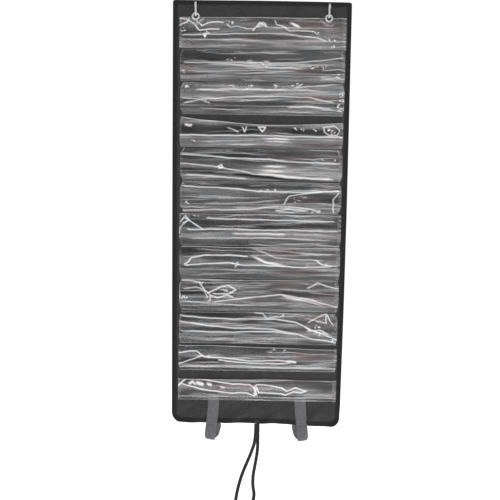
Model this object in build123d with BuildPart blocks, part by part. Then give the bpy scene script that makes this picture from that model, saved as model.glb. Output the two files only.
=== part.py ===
"""Hanging organizer for glasses: a fabric panel with twelve rows of clear film pockets.

The panel hangs on two S-hooks through eyelets in its header, and rolls up at a fold
between every two rows. Two webbing loops and a pair of tie cords are sewn to its foot.

Frame: X to the right, Y to the back, Z up, millimetres. The origin is the hang line:
the inner top of the hooks' upper curls, midway between the two hooks.
"""
import math
import os

from build123d import *

# ---------------------------------------------------------------- driving dimensions
PANEL_WIDTH = 360.0
PANEL_HEIGHT = 866.0
PANEL_TOP = 10.5            # height of the panel's top edge above the hang line
PANEL_MID = 15.0            # depth of the panel's middle plane
TOP_CORNER = 12.0
FOOT_CORNER = 16.0

BACKING_THICKNESS = 1.6
TAPE_THICKNESS = 0.8        # each leg of the folded edge binding, and its spine
TAPE_WIDTH = 10.0
FOLD_GAP = 0.3              # between two rows' fabric, centred on the fold line

ROWS = 12
ROW_PITCH = 67.0
FIRST_MOUTH = 32.0          # from the panel's top edge to the first pocket's mouth
POCKET_HEIGHT = 55.0
LAST_POCKET_HEIGHT = 49.0
FOLD_ABOVE_MOUTH = 6.0
POCKET_DEPTH = 8.0
POCKET_SLOPE = 10.0         # run of the pocket's sloping ends and bottom
FILM = 0.4
HEM_HEIGHT = 7.0
HEM_THICKNESS = 0.8
SHELL_LAP = 1.0             # of the film's bulge onto its flat hem and side lands

EYELET_X = 136.0
EYELET_BELOW_TOP = 33.5
EYELET_HOLE_R = 4.5
EYELET_BARREL_R = 5.0
EYELET_RIM_R = 8.3
EYELET_DOME = 1.2
BARREL_PLAY = 0.05
WASHER_THICKNESS = 0.8
BARREL_FLARE = 0.4

WIRE_R = 2.0
LOWER_CURL_R = 7.0          # radii of the hooks' centre lines
UPPER_CURL_R = 8.0
HOOK_PLAY = 0.6             # under the eyelet's upper rim

STRAP_X = 92.0
STRAP_WIDTH = 25.0
STRAP_THICKNESS = 1.4
LOOP_DROP = 35.0            # of the webbing loops below the panel's foot
LOOP_GAP = 9.0
STRAP_BACK_LEG = 66.0       # sewn length on the panel's back

CORD_WIDTH = 6.0
CORD_THICKNESS = 2.0
CORD_GAP = 0.5              # between the two cords, front to back

# ---------------------------------------------------------------- worked out from them
PANEL_FOOT = PANEL_TOP - PANEL_HEIGHT
HALF_WIDTH = PANEL_WIDTH / 2
INNER_HALF = HALF_WIDTH - TAPE_WIDTH                 # to the binding's inner edge
BACKING_FRONT = PANEL_MID - BACKING_THICKNESS / 2
BACKING_BACK = PANEL_MID + BACKING_THICKNESS / 2
TAPE_FRONT = BACKING_FRONT - TAPE_THICKNESS
TAPE_BACK = BACKING_BACK + TAPE_THICKNESS
EYELET_Z = PANEL_TOP - EYELET_BELOW_TOP


def mouth_z(row):
    """Height of a row's pocket mouth; rows count from 1 at the top."""
    return PANEL_TOP - FIRST_MOUTH - ROW_PITCH * (row - 1)


def section_name(row):
    """The header carries row 1, the foot carries the last row."""
    if row == 1:
        return "header"
    if row == ROWS:
        return "bottom"
    return f"row_{row:02d}"


def section_span(row):
    """Top and bottom of the fabric of the section that carries a row."""
    top = PANEL_TOP if row == 1 else mouth_z(row) + FOLD_ABOVE_MOUTH - FOLD_GAP / 2
    foot = PANEL_FOOT if row == ROWS else mouth_z(row + 1) + FOLD_ABOVE_MOUTH + FOLD_GAP / 2
    return top, foot


def front_plane(depth):
    """A sketch plane at a depth, with X to the right, Y up and its normal to the front."""
    return Plane.XZ.offset(-depth)


def save(builder, name):
    builder.part.label = name
    export_step(builder.part, f"parts/{name}.step")


def section_outline(row, inset):
    """Sketch a section's outline, inset from the panel's outer edge."""
    top, foot = section_span(row)
    upper = top - inset if row == 1 else top
    lower = foot + inset if row == ROWS else foot
    half = HALF_WIDTH - inset
    with Locations((0, (upper + lower) / 2)):
        Rectangle(2 * half, upper - lower)
    corners = vertices().sort_by(Axis.Y)
    if row == 1:
        fillet(corners[-2:], max(TOP_CORNER - inset, 2.0))
    if row == ROWS:
        fillet(corners[:2], max(FOOT_CORNER - inset, 2.0))


# ---------------------------------------------------------------- fabric backing
def make_backing(row):
    name = "backing_" + section_name(row)
    with BuildPart() as backing:
        with BuildSketch(front_plane(BACKING_BACK)):
            section_outline(row, TAPE_THICKNESS)
        extrude(amount=BACKING_THICKNESS)
        if row == 1:
            with BuildSketch(front_plane(BACKING_BACK)):
                with Locations((-EYELET_X, EYELET_Z), (EYELET_X, EYELET_Z)):
                    Circle(EYELET_BARREL_R + BARREL_PLAY)
            extrude(amount=BACKING_THICKNESS, mode=Mode.SUBTRACT)
    save(backing, name)


# ---------------------------------------------------------------- edge binding
def make_binding(row):
    """Tape folded over the edge: a channel around the backing, on the section's outer sides."""
    name = "binding_" + section_name(row)
    top, foot = section_span(row)
    window_top = top - TAPE_WIDTH if row == 1 else top
    window_foot = foot + TAPE_WIDTH if row == ROWS else foot
    with BuildPart() as binding:
        with BuildSketch(front_plane(TAPE_BACK)):
            section_outline(row, 0)
            with Locations((0, (window_top + window_foot) / 2)):
                Rectangle(2 * INNER_HALF, window_top - window_foot, mode=Mode.SUBTRACT)
        extrude(amount=TAPE_BACK - TAPE_FRONT)
        with BuildSketch(front_plane(BACKING_BACK)):
            section_outline(row, TAPE_THICKNESS)
        extrude(amount=BACKING_THICKNESS, mode=Mode.SUBTRACT)
    save(binding, name)


# ---------------------------------------------------------------- film pockets
def make_pocket(row):
    """Film that bulges from the backing, open at its mouth, with sloping ends and bottom."""
    mouth = mouth_z(row)
    height = LAST_POCKET_HEIGHT if row == ROWS else POCKET_HEIGHT
    side_land = EYELET_X - EYELET_RIM_R - 3.0        # row 1 lies flat beside the eyelets
    half_width = side_land if row == 1 else INNER_HALF
    shell_foot = mouth - height + HEM_HEIGHT - SHELL_LAP
    front = BACKING_FRONT - POCKET_DEPTH
    wall_run = FILM * math.hypot(POCKET_SLOPE, POCKET_DEPTH) / POCKET_DEPTH
    inner_run = POCKET_SLOPE * (1 - FILM / POCKET_DEPTH) + wall_run
    outside = ((BACKING_FRONT, 0), (front, POCKET_SLOPE))
    inside = ((BACKING_FRONT, wall_run), (front + FILM, inner_run))
    with BuildPart() as pocket:
        for outline, upper, mode in ((outside, mouth, Mode.ADD), (inside, mouth + 5, Mode.SUBTRACT)):
            for depth, inset in outline:
                lower = shell_foot + inset
                with BuildSketch(front_plane(depth)):
                    with Locations((0, (upper + lower) / 2)):
                        Rectangle(2 * (half_width - inset), upper - lower)
            loft(mode=mode)
        with BuildSketch(front_plane(BACKING_FRONT)):
            with Locations((0, mouth - height + HEM_HEIGHT / 2)):
                Rectangle(2 * INNER_HALF, HEM_HEIGHT)
            if row == 1:
                land_width = INNER_HALF - side_land + SHELL_LAP
                for side in (-1, 1):
                    with Locations((side * (INNER_HALF - land_width / 2), mouth - height / 2)):
                        Rectangle(land_width, height)
                with Locations((-EYELET_X, EYELET_Z), (EYELET_X, EYELET_Z)):
                    Circle(EYELET_RIM_R + 0.3, mode=Mode.SUBTRACT)
        extrude(amount=HEM_THICKNESS)
    save(pocket, f"pocket_film_{row:02d}")


# ---------------------------------------------------------------- eyelets and hooks
def make_eyelet(side, name):
    """A rolled metal ring in front of the header with a barrel through the fabric."""
    barrel_back = BACKING_BACK + WASHER_THICKNESS + BARREL_FLARE
    plane = Plane(origin=(side * EYELET_X, 0, EYELET_Z), x_dir=(1, 0, 0), z_dir=(0, 0, 1))
    crest = (EYELET_HOLE_R + EYELET_RIM_R) / 2
    with BuildPart() as eyelet:
        with BuildSketch(plane):
            with BuildLine():
                Line((EYELET_HOLE_R, barrel_back), (EYELET_HOLE_R, BACKING_FRONT))
                ThreePointArc(
                    (EYELET_HOLE_R, BACKING_FRONT),
                    (crest, BACKING_FRONT - EYELET_DOME),
                    (EYELET_RIM_R, BACKING_FRONT),
                )
                Line((EYELET_RIM_R, BACKING_FRONT), (EYELET_BARREL_R, BACKING_FRONT))
                Line((EYELET_BARREL_R, BACKING_FRONT), (EYELET_BARREL_R, barrel_back))
                Line((EYELET_BARREL_R, barrel_back), (EYELET_HOLE_R, barrel_back))
            make_face()
        revolve(axis=Axis((side * EYELET_X, 0, EYELET_Z), (0, 1, 0)))
    save(eyelet, "eyelet_" + name)

    with BuildPart() as washer:
        with BuildSketch(front_plane(BACKING_BACK + WASHER_THICKNESS)):
            with Locations((side * EYELET_X, EYELET_Z)):
                Circle(EYELET_RIM_R)
                Circle(EYELET_BARREL_R + BARREL_PLAY, mode=Mode.SUBTRACT)
        extrude(amount=WASHER_THICKNESS)
    save(washer, "eyelet_washer_" + name)


def lower_curl_z():
    """Height of the lower curl's centre: its wire lies just under the eyelet's upper rim."""
    return EYELET_Z + EYELET_HOLE_R - HOOK_PLAY + LOWER_CURL_R - WIRE_R


def make_hook(side, name):
    """An S-hook: from its tip behind the panel, through the eyelet, up, and over to the front."""
    low_z = lower_curl_z()
    bar_y = PANEL_MID - LOWER_CURL_R
    top_y = bar_y - UPPER_CURL_R
    top_z = -(UPPER_CURL_R - WIRE_R)
    with BuildPart() as hook:
        with BuildLine(Plane.YZ.offset(side * EYELET_X)):
            ThreePointArc(
                (PANEL_MID + LOWER_CURL_R, low_z),
                (PANEL_MID, low_z - LOWER_CURL_R),
                (bar_y, low_z),
            )
            Line((bar_y, low_z), (bar_y, top_z))
            ThreePointArc(
                (bar_y, top_z),
                (top_y, top_z + UPPER_CURL_R),
                (top_y - UPPER_CURL_R, top_z),
            )
        tip = (side * EYELET_X, PANEL_MID + LOWER_CURL_R, low_z)
        with BuildSketch(Plane(origin=tip, z_dir=(0, 0, -1))):
            Circle(WIRE_R)
        sweep()
    save(hook, "hook_" + name)


# ---------------------------------------------------------------- webbing loops
def make_strap(side, name):
    """Webbing that starts at the last hem, loops under the foot and is sewn to the back."""
    half = STRAP_THICKNESS / 2
    clear = 0.05
    hem_z = mouth_z(ROWS) - LAST_POCKET_HEIGHT
    front_low = BACKING_FRONT - half
    front_high = TAPE_FRONT - half - clear
    back_low = BACKING_BACK + half
    back_high = TAPE_BACK + half + clear
    step_z = PANEL_FOOT + TAPE_WIDTH + 7.0           # where the webbing climbs the binding
    on_tape_z = PANEL_FOOT + TAPE_WIDTH + 2.0
    spread = LOOP_GAP / 2 + half
    loop_z = PANEL_FOOT - LOOP_DROP + half
    route = [
        (front_low, hem_z - clear),
        (front_low, step_z),
        (front_high, on_tape_z),
        (front_high, PANEL_FOOT - 1.0),
        (PANEL_MID - spread, PANEL_FOOT - 9.0),
        (PANEL_MID - spread, loop_z),
        (PANEL_MID + spread, loop_z),
        (PANEL_MID + spread, PANEL_FOOT - 9.0),
        (back_high, PANEL_FOOT - 1.0),
        (back_high, on_tape_z),
        (back_low, step_z),
        (back_low, PANEL_FOOT + STRAP_BACK_LEG),
    ]
    bends = [3.0, 3.0, 4.0, 4.0, spread - 0.1, spread - 0.1, 4.0, 4.0, 3.0, 3.0]
    start_x = side * STRAP_X - STRAP_WIDTH / 2
    with BuildPart() as strap:
        with BuildSketch(Plane.YZ.offset(start_x)):
            with BuildLine():
                FilletPolyline(*route, radius=bends)
            trace(line_width=STRAP_THICKNESS)
        extrude(amount=STRAP_WIDTH)
    save(strap, "strap_" + name)


# ---------------------------------------------------------------- tie cords
TIE_X = 3.0
# Each cord leaves the binding's underside straight down and hangs in its own plane.
# Its route is (x, z) from there.
LEFT_TIE = [
    (0.0, 0.0),
    (0.0, -27.0),
    (-5.2, -47.0),
    (-16.0, -73.0),
    (-27.5, -100.0),
    (-36.5, -130.0),
    (-42.5, -164.0),
    (-42.0, -200.0),
    (-37.0, -238.0),
    (-36.0, -276.0),
    (-39.5, -312.0),
]
RIGHT_TIE = [
    (0.0, 0.0),
    (0.0, -27.0),
    (1.0, -55.0),
    (-2.6, -84.0),
    (-6.5, -108.0),
    (-6.6, -130.0),
    (-2.6, -148.0),
    (-7.5, -168.0),
    (-11.5, -196.0),
    (-10.0, -230.0),
    (-4.5, -266.0),
    (-4.0, -304.0),
]


def corner_radii(points):
    """The largest tangent arc that each corner's two runs allow."""
    radii = []
    for before, corner, after in zip(points, points[1:], points[2:]):
        first = Vector(*corner) - Vector(*before)
        second = Vector(*after) - Vector(*corner)
        turn = math.radians(first.get_angle(second))
        radii.append(0.45 * min(first.length, second.length) / math.tan(turn / 2))
    return radii


def make_tie(name, points, depth):
    route = [(TIE_X + x, PANEL_FOOT + z) for x, z in points]
    radii = corner_radii(route)
    with BuildPart() as tie:
        with BuildLine(front_plane(depth)):
            FilletPolyline(*route, radius=radii)
        with BuildSketch(Plane(origin=(TIE_X, depth, PANEL_FOOT), x_dir=(1, 0, 0), z_dir=(0, 0, -1))):
            SlotOverall(CORD_WIDTH, CORD_THICKNESS)
        sweep()
    length = Wire(Polyline(*[(x, 0, z) for x, z in route]).edges()).length
    print(name, "radii", [round(r) for r in radii], "runs", round(length),
          "volume", round(tie.part.volume))
    save(tie, name)


def make_bartack():
    """A dense patch of thread on the binding, over the ends of the tie cords."""
    with BuildPart() as bartack:
        with BuildSketch(front_plane(TAPE_FRONT)):
            with Locations((TIE_X, PANEL_FOOT + TAPE_WIDTH / 2)):
                RectangleRounded(CORD_WIDTH + 4.0, 4.0, 0.8)
        extrude(amount=0.5)
    save(bartack, "tie_bartack")


os.makedirs("parts", exist_ok=True)
for row_number in range(1, ROWS + 1):
    make_backing(row_number)
    make_binding(row_number)
    make_pocket(row_number)
for direction, side_name in ((-1, "left"), (1, "right")):
    make_eyelet(direction, side_name)
    make_hook(direction, side_name)
    make_strap(direction, side_name)
CORD_OFFSET = (CORD_THICKNESS + CORD_GAP) / 2
make_tie("tie_left", LEFT_TIE, PANEL_MID - CORD_OFFSET)
make_tie("tie_right", RIGHT_TIE, PANEL_MID + CORD_OFFSET)
make_bartack()
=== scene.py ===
"""Looks of the hanging organizer: black fabric panel, twelve clear film pockets, edge
binding, eyelets, hooks, webbing loops and tie cords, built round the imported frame.

Lengths are in millimetres in this file, in the row frame (X right, Y back, Z up), and
become metres when a mesh is made.
"""
import math

import bpy
import numpy as np
from mathutils import Matrix, Vector


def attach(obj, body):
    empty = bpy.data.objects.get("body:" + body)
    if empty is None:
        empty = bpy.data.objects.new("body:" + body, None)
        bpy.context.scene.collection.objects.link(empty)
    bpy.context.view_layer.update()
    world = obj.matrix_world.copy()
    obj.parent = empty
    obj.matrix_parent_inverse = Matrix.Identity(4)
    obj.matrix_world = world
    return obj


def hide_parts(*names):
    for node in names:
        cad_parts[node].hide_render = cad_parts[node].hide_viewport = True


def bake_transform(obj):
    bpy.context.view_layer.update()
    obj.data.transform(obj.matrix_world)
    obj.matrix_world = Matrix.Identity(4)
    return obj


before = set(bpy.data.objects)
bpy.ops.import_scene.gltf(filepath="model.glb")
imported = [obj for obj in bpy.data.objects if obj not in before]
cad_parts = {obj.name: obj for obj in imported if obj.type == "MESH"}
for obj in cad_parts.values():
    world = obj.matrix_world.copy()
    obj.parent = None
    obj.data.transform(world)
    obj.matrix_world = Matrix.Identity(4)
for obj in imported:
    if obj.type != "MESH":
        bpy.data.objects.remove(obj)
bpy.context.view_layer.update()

MM = 0.001

# ---------------------------------------------------------------- sizes shared with the CAD
PANEL_TOP, PANEL_FOOT = 10.5, -855.5
PANEL_HALF = 180.0
TOP_CORNER, FOOT_CORNER = 5.0, 18.0
CLOTH_FRONT, CLOTH_BACK = 14.2, 15.8
ROWS, PITCH, FIRST_MOUTH = 12, 67.0, -21.5
POCKET, LAST_POCKET, HEM = 55.0, 49.0, 7.0
POCKET_HALF = 170.0
EYELET_X, EYELET_Z, EYELET_RIM = 136.0, -23.0, 8.3
STRAP_X, STRAP_WIDTH, STRAP_THICK = 92.0, 22.8, 1.4
FOLD_ABOVE_MOUTH = 6.0
BEND = 5.5                      # the cloth's rows of points lie close together within this much above and below a fold
NARROWING = 0.033               # of the hanging panel, from its top to its foot
SHARP_ANGLE = math.radians(58)  # edges turning more than this stay crisp


def mouth_z(row):
    return FIRST_MOUTH - PITCH * (row - 1)


def fold_z(k):
    return mouth_z(k + 1) + FOLD_ABOVE_MOUTH


def section(row):
    return "header" if row == 1 else "bottom" if row == ROWS else f"row_{row:02d}"


def middle_z(row):
    return mouth_z(row) - 27.0


def smooth(a, b, x):
    t = np.clip((x - a) / (b - a), 0, 1)
    return t * t * (3 - 2 * t)


LEFT_DRIFT = ((-860, -610, -400, 20), (1.5, 0.0, -1.2, -3.0))      # of the side edges, by height
RIGHT_DRIFT = ((-860, -815, -610, -400, 20), (-2.5, -0.8, 1.6, 2.6, 2.4))


def hang(p):
    """Moves flat-panel points to where the hanging panel has them.

    It draws in towards its foot, its sides drift a little, and its foot lies in soft folds
    with a wavy edge.
    """
    p = np.array(p, float)
    x, z = p[..., 0].copy(), p[..., 2].copy()
    low = smooth(-806, -846, z)
    top = smooth(-14, 8, z)
    drift = np.where(x < 0, np.interp(z, *LEFT_DRIFT), np.interp(z, *RIGHT_DRIFT)) * np.abs(x) / PANEL_HALF
    p[..., 0] = x * (1 - NARROWING * np.clip(PANEL_TOP - z, 0, None) / (PANEL_TOP - PANEL_FOOT)) + drift
    slant = x - 1.5 * (z + 830)
    clear = 1 - 0.97 * np.exp(-(((np.abs(x) - 94) / 19) ** 4))            # the webbing holds the cloth flat
    p[..., 1] += (
        low * clear * (
            3.2 * np.sin(slant / 13 + 0.6) + 1.2 * np.sin(slant / 6.1 + 2.0) + 1.2 * np.sin(slant / 27)
        )
        + top * 0.25 * np.sin(x / 31)
    )
    middle = 1 - np.exp(-(((x - 3) / 22) ** 2))                             # the tie cords hold it there
    foot = (
        0.9 * np.sin(x / 40 + 1.9) + 0.4 * np.sin(x / 17) - 4.0 * smooth(70, 150, x)
        + 1.6 * smooth(-60, -150, x)
    )
    p[..., 2] += low * middle * foot + top * 0.4 * np.sin(x / 60 + 1)
    return p


# ---------------------------------------------------------------- meshes
def piece(name, points, faces, material, uv=None, attributes=None):
    """A mesh object from points in millimetres. uv holds one pair per point."""
    mesh = bpy.data.meshes.new(name)
    points = np.asarray(points, float).reshape(-1, 3) * MM
    faces = [tuple(int(i) for i in f) for f in faces]
    mesh.from_pydata(points.tolist(), [], faces)
    mesh.update()
    if uv is not None:
        layer = mesh.uv_layers.new(name="UVMap")
        index = np.empty(len(mesh.loops), int)
        mesh.loops.foreach_get("vertex_index", index)
        layer.data.foreach_set("uv", np.asarray(uv, float).reshape(-1, 2)[index].ravel())
    for key, values in (attributes or {}).items():
        mesh.attributes.new(key, "FLOAT", "POINT").data.foreach_set(
            "value", np.asarray(values, np.float32).ravel()
        )
    mesh.polygons.foreach_set("use_smooth", [True] * len(mesh.polygons))
    mesh.set_sharp_from_angle(angle=SHARP_ANGLE)
    mesh.materials.append(material)
    o = bpy.data.objects.new(name, mesh)
    bpy.context.collection.objects.link(o)
    return o


def grid_faces(n, m, start=0, wrap=False, flip=False):
    """Quads of an n by m grid of points stored row by row; wrap joins the last column to the first."""
    i, j = np.meshgrid(np.arange(n - 1), np.arange(m if wrap else m - 1), indexing="ij")
    a, b = i * m + j, i * m + (j + 1) % m
    q = np.stack([a, b, b + m, a + m], -1).reshape(-1, 4) + start
    return q[:, ::-1] if flip else q


def slab(front, back):
    """Points and faces of a closed sheet between two n by m grids of points."""
    n, m = front.shape[:2]
    points = np.concatenate([front.reshape(-1, 3), back.reshape(-1, 3)])
    faces = [grid_faces(n, m), grid_faces(n, m, n * m, flip=True)]
    index = np.arange(n * m).reshape(n, m)
    for line in (index[0], index[:, -1], index[-1, ::-1], index[::-1, 0]):
        a, b = line[:-1], line[1:]
        faces.append(np.stack([b, a, a + n * m, b + n * m], -1))
    return points, np.concatenate(faces)


def stack(parts):
    """Joins (points, faces, uv) parts into one."""
    points, faces, uvs, start = [], [], [], 0
    for p, f, uv in parts:
        points.append(np.asarray(p, float).reshape(-1, 3))
        uvs.append(np.asarray(uv, float).reshape(-1, 2))
        faces.extend([[int(i) + start for i in face] for face in f])
        start += len(points[-1])
    return np.concatenate(points), faces, np.concatenate(uvs)


def sweep(rings, uv_across, uv_along):
    """A closed tube through rings of points, with flat ends."""
    rings = np.asarray(rings, float)
    n, m = rings.shape[:2]
    faces = grid_faces(n, m, wrap=True).tolist()
    faces += [list(range(m))[::-1], [(n - 1) * m + i for i in range(m)]]
    uv = np.stack(np.broadcast_arrays(np.asarray(uv_across)[None, :], np.asarray(uv_along)[:, None]), -1)
    return rings.reshape(-1, 3), faces, uv.reshape(-1, 2)


def stitches(path, normal, pitch=4.2, length=2.9, width=0.55, height=0.32):
    """Thread dashes along a path of points, standing up along normal."""
    path, normal = np.asarray(path, float), np.asarray(normal, float)
    step = np.linalg.norm(np.diff(path, axis=0), axis=1)
    s = np.concatenate([[0], np.cumsum(step)])
    parts = []
    for at in np.arange(pitch / 2, s[-1] - length / 2, pitch):
        c = np.array([np.interp(at, s, path[:, k]) for k in range(3)])
        e = np.array([np.interp(min(at + 0.5, s[-1]), s, path[:, k]) for k in range(3)]) - c
        t = e / max(np.linalg.norm(e), 1e-9)
        b = np.cross(t, normal)
        rings = []
        for a, size in ((-0.5, 0.35), (-0.32, 0.9), (0.0, 1.0), (0.32, 0.9), (0.5, 0.35)):
            lift = height * (0.15 + 0.85 * (1 - (2 * a) ** 2))
            rings.append(
                [
                    c + t * length * a + b * width * 0.5 * size * math.cos(w) + normal * (
                        lift * 0.5 + height * 0.5 * size * math.sin(w)
                    )
                    for w in np.arange(6) * math.pi / 3
                ]
            )
        parts.append(sweep(rings, np.arange(6) * 0.1, np.arange(5) * length / 4))
    return stack(parts)


# ---------------------------------------------------------------- materials
class Shader:
    """Short names for building a node tree."""

    def __init__(self, name, owner=None, output="ShaderNodeOutputMaterial"):
        self.material = owner or bpy.data.materials.new(name)
        self.material.use_nodes = True
        self.tree = self.material.node_tree
        self.tree.nodes.clear()
        self.out = self.node(output)

    def node(self, kind, inputs=None, **settings):
        n = self.tree.nodes.new(kind)
        for k, v in settings.items():
            setattr(n, k, v)
        for k, v in (inputs or {}).items():
            if isinstance(v, bpy.types.NodeSocket):
                self.tree.links.new(v, n.inputs[k])
            else:
                n.inputs[k].default_value = v
        return n

    def maths(self, operation, *values, clamp=False):
        return self.node(
            "ShaderNodeMath", dict(enumerate(values)), operation=operation, use_clamp=clamp
        ).outputs[0]

    def ramp(self, fac, stops):
        n = self.node("ShaderNodeValToRGB", {0: fac})
        while len(n.color_ramp.elements) < len(stops):
            n.color_ramp.elements.new(0.5)
        for e, (at, colour) in zip(n.color_ramp.elements, stops):
            e.position = at
            e.color = (*colour, 1)
        return n.outputs[0]

    def uv(self):
        return self.node("ShaderNodeUVMap", uv_map="UVMap").outputs[0]

    def space(self):
        return self.node("ShaderNodeTexCoord").outputs["Object"]

    def noise(self, vector, scale, detail=3.0, rough=0.55, stretch=None):
        if stretch:
            vector = self.node("ShaderNodeMapping", {"Vector": vector, "Scale": stretch}).outputs[0]
        return self.node(
            "ShaderNodeTexNoise", {"Vector": vector, "Scale": scale, "Detail": detail, "Roughness": rough}
        ).outputs[0]

    def wave(self, value, period):
        """A sine of value, from 0 to 1, with this period."""
        s = self.maths("SINE", self.maths("MULTIPLY", value, 2 * math.pi / period))
        return self.maths("MULTIPLY_ADD", s, 0.5, 0.5)

    def bump(self, height, strength, distance):
        return self.node(
            "ShaderNodeBump", {"Height": height, "Strength": strength, "Distance": distance}
        ).outputs[0]

    def finish(self, shader):
        self.tree.links.new(shader, self.out.inputs["Surface"])
        return self.material


def cloth_material(name, dark, light, period, kind, rough=(0.72, 0.95), sheen=0.25, depth=0.0003):
    """Woven cloth. kind is plain, ribbed (ribs across the tape) or webbing (ribs along it).

    UVs are in millimetres.
    """
    s = Shader(name)
    u, v, _ = s.node("ShaderNodeSeparateXYZ", {0: s.uv()}).outputs
    if kind == "plain":
        a, b = s.wave(u, period), s.wave(v, period)
        cell = s.maths("MULTIPLY", s.wave(u, period * 2), s.wave(v, period * 2))
        weave = s.maths(
            "MAXIMUM", s.maths("MULTIPLY", a, cell), s.maths("MULTIPLY", b, s.maths("SUBTRACT", 1.0, cell))
        )
    elif kind == "ribbed":
        weave = s.maths(
            "MULTIPLY_ADD", s.wave(v, period), 0.8, s.maths("MULTIPLY", s.wave(u, period * 0.7), 0.2)
        )
    else:
        lean = s.maths("ADD", v, s.maths("MULTIPLY", s.wave(u, period * 2), period * 0.9))
        weave = s.maths(
            "MULTIPLY_ADD", s.wave(u, period), 0.55, s.maths("MULTIPLY", s.wave(lean, period), 0.45)
        )
    fuzz = s.noise(s.uv(), 1.6, 4.0, 0.65)
    patch = s.noise(s.uv(), 0.035, 3.0, 0.5)
    mottle = s.noise(s.uv(), 0.24, 3.0, 0.7)
    tone = s.maths(
        "ADD", s.maths("MULTIPLY", weave, 0.45),
        s.maths(
            "ADD", s.maths("MULTIPLY", fuzz, 0.25),
            s.maths(
                "ADD", s.maths("MULTIPLY", patch, 0.25),
                s.maths("MULTIPLY", s.maths("SUBTRACT", mottle, 0.4), 0.55)
            )
        )
    )
    colour = s.ramp(tone, ((0.25, dark), (0.8, light)))
    height = s.maths("MULTIPLY_ADD", fuzz, 0.5, weave)
    roughness = s.node("ShaderNodeMapRange", {0: fuzz, 3: rough[0], 4: rough[1]}).outputs[0]
    bsdf = s.node(
        "ShaderNodeBsdfPrincipled",
        {
            "Base Color": colour, "Roughness": roughness, "Normal": s.bump(height, 0.55, depth),
            "Sheen Weight": sheen, "Sheen Roughness": 0.5, "Specular IOR Level": 0.3
        }
    )
    return s.finish(bsdf.outputs[0])


def metal_material(name, colour, rough):
    s = Shader(name)
    grain = s.noise(s.space(), 900.0, 3.0, 0.6, (1, 1, 0.25))
    wear = s.noise(s.space(), 160.0, 4.0, 0.6)
    tint = s.ramp(wear, ((0.3, tuple(c * 0.82 for c in colour)), (0.65, colour)))
    roughness = s.node("ShaderNodeMapRange", {0: wear, 3: rough, 4: rough + 0.16}).outputs[0]
    bsdf = s.node(
        "ShaderNodeBsdfPrincipled",
        {"Base Color": tint, "Metallic": 0.55, "Roughness": roughness, "Normal": s.bump(grain, 0.12, 0.0001)}
    )
    return s.finish(bsdf.outputs[0])


def film_material():
    """Clear PVC film: mostly see-through, mirroring the room.

    It has painted highlights along its creases, mouth edge, hem and ends, partly its own stress
    whitening ("white"), painted reflections in lighter bands over a slight milkiness of its own
    ("haze"), and brownish patches ("warm").
    """
    s = Shader("clear_film_look")
    white = s.node("ShaderNodeAttribute", attribute_name="white").outputs["Fac"]
    haze = s.node("ShaderNodeAttribute", attribute_name="haze").outputs["Fac"]
    streak = s.noise(s.uv(), 0.11, 4.0, 0.62, (0.1, 1.0, 1.0))
    fine = s.noise(s.uv(), 0.5, 4.0, 0.65, (0.14, 1.0, 1.0))
    hue = s.noise(s.uv(), 0.022, 2.0, 0.5, (1.0, 1.6, 1.0))
    tint = s.ramp(hue, (
        (0.30, (0.80, 0.82, 0.84)), (0.46, (0.84, 0.84, 0.84)), (0.56, (0.85, 0.82, 0.82)),
        (0.65, (0.75, 0.69, 0.70)), (0.73, (0.82, 0.82, 0.86)),
    ))
    warm = s.node("ShaderNodeAttribute", attribute_name="warm").outputs["Fac"]
    blush = s.node("ShaderNodeMix", {0: warm, 6: tint, 7: (0.50, 0.33, 0.34, 1)}, data_type="RGBA").outputs[2]
    bump = s.bump(s.maths("MULTIPLY_ADD", fine, 0.22, streak), 0.2, 0.0010)
    gloss = s.node(
        "ShaderNodeBsdfGlossy", {"Color": (0.95, 0.96, 0.97, 1), "Roughness": 0.14, "Normal": bump}
    )
    milk_and_painted_light = s.node("ShaderNodeBsdfDiffuse", {"Color": blush, "Roughness": 0.4, "Normal": bump})
    clear = s.node("ShaderNodeBsdfTransparent", {"Color": (0.95, 0.955, 0.96, 1)})
    fresnel = s.node("ShaderNodeFresnel", {"IOR": 1.55, "Normal": bump}).outputs[0]
    mirror = s.maths("ADD", s.maths("MULTIPLY", fresnel, 0.5), s.maths("MULTIPLY", white, 0.1), clamp=True)
    body = s.node("ShaderNodeMixShader", {0: mirror, 1: clear.outputs[0], 2: gloss.outputs[0]})
    # the milky diffuse layer shows the painted reflection bands, made streaky here, and the painted
    # highlights along the creases
    drawn = s.node("ShaderNodeMapRange", {0: streak, 1: 0.3, 2: 0.7, 3: 0.2, 4: 1.8}).outputs[0]
    cover = s.maths("ADD", s.maths("MULTIPLY", haze, drawn), s.maths("MULTIPLY", white, 0.8), clamp=True)
    return s.finish(
        s.node("ShaderNodeMixShader", {0: cover, 1: body.outputs[0], 2: milk_and_painted_light.outputs[0]}).outputs[0]
    )


CLOTH = cloth_material("backing_fabric_look", (0.010, 0.010, 0.0105), (0.066, 0.066, 0.067), 1.1, "plain")
TAPE = cloth_material(
    "binding_tape_look", (0.006, 0.006, 0.0065), (0.019, 0.019, 0.020), 1.3, "ribbed", (0.55, 0.8), 0.15
)
WEBBING = cloth_material(
    "webbing_look", (0.045, 0.046, 0.049), (0.19, 0.19, 0.196), 1.7, "webbing", (0.8, 1.0), 0.5, 0.0004
)
BRAID = cloth_material(
    "tie_cord_look", (0.007, 0.007, 0.0075), (0.028, 0.028, 0.029), 1.2, "webbing", (0.6, 0.9), 0.3, 0.0004
)
THREAD = cloth_material(
    "thread_look", (0.02, 0.02, 0.021), (0.075, 0.075, 0.078), 0.5, "ribbed", (0.45, 0.7), 0.2, 0.0001
)
FILM = film_material()
EYELET_METAL = metal_material("eyelet_metal_look", (0.93, 0.93, 0.92), 0.2)
HOOK_METAL = metal_material("hook_metal_look", (0.95, 0.94, 0.94), 0.34)


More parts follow.
